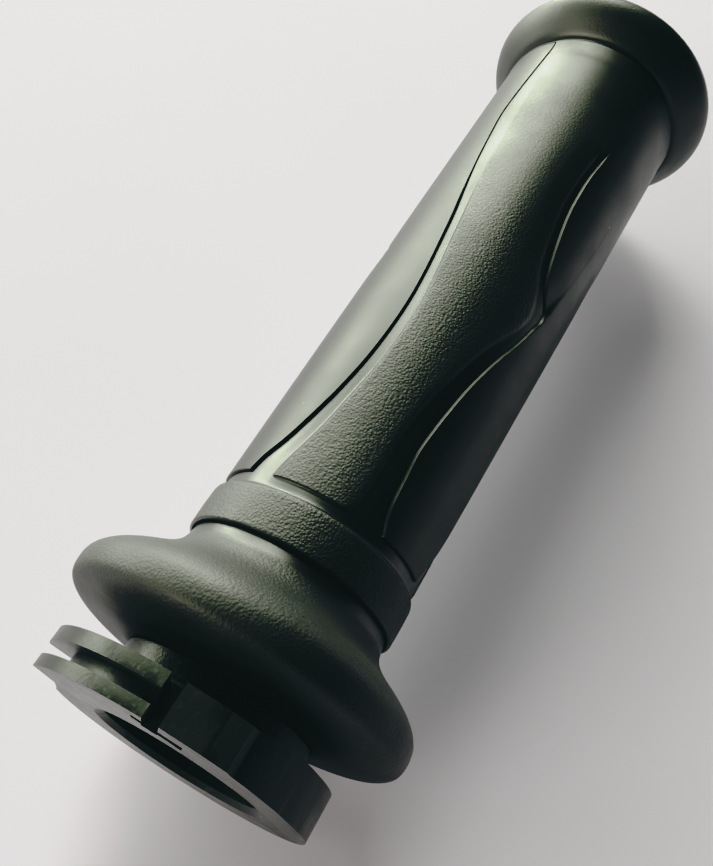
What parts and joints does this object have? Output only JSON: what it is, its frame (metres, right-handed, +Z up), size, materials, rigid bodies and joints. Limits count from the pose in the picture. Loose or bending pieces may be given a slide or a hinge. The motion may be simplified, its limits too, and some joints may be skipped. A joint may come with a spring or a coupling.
{
  "type": "throttle grip",
  "caption": "rubber throttle grip with hand-guard flange, cuff and smooth wave panels, moulded on a plastic throttle tube with a cable drum at its inboard end",
  "frame": {"origin": "the bore's axis, half way along the grip, which is the centre of its bounding box", "axes": "+X runs along the bore and points outboard, toward the bar end; the drum's inboard face is at -67.9 mm and the end face at +67.9 mm. +Z is up as the grip lies, and +Y completes the right-handed set"},
  "size_m": [0.1358, 0.0486, 0.0486],
  "materials": {
    "throttle_tube": "black moulded plastic, satin",
    "grip_sleeve": "black rubber, fine leather grain on pads, cuff and guard flange",
    "front_panel": "black rubber, smooth satin",
    "rear_panel": "black rubber, smooth satin",
    "under_panel": "black rubber, smooth satin"
  },
  "bodies": {
    "root": {"throttle_tube": "throttle_tube", "grip_sleeve": "grip_sleeve", "front_panel": "front_panel", "rear_panel": "rear_panel", "under_panel": "under_panel"}
  },
  "joints": []
}
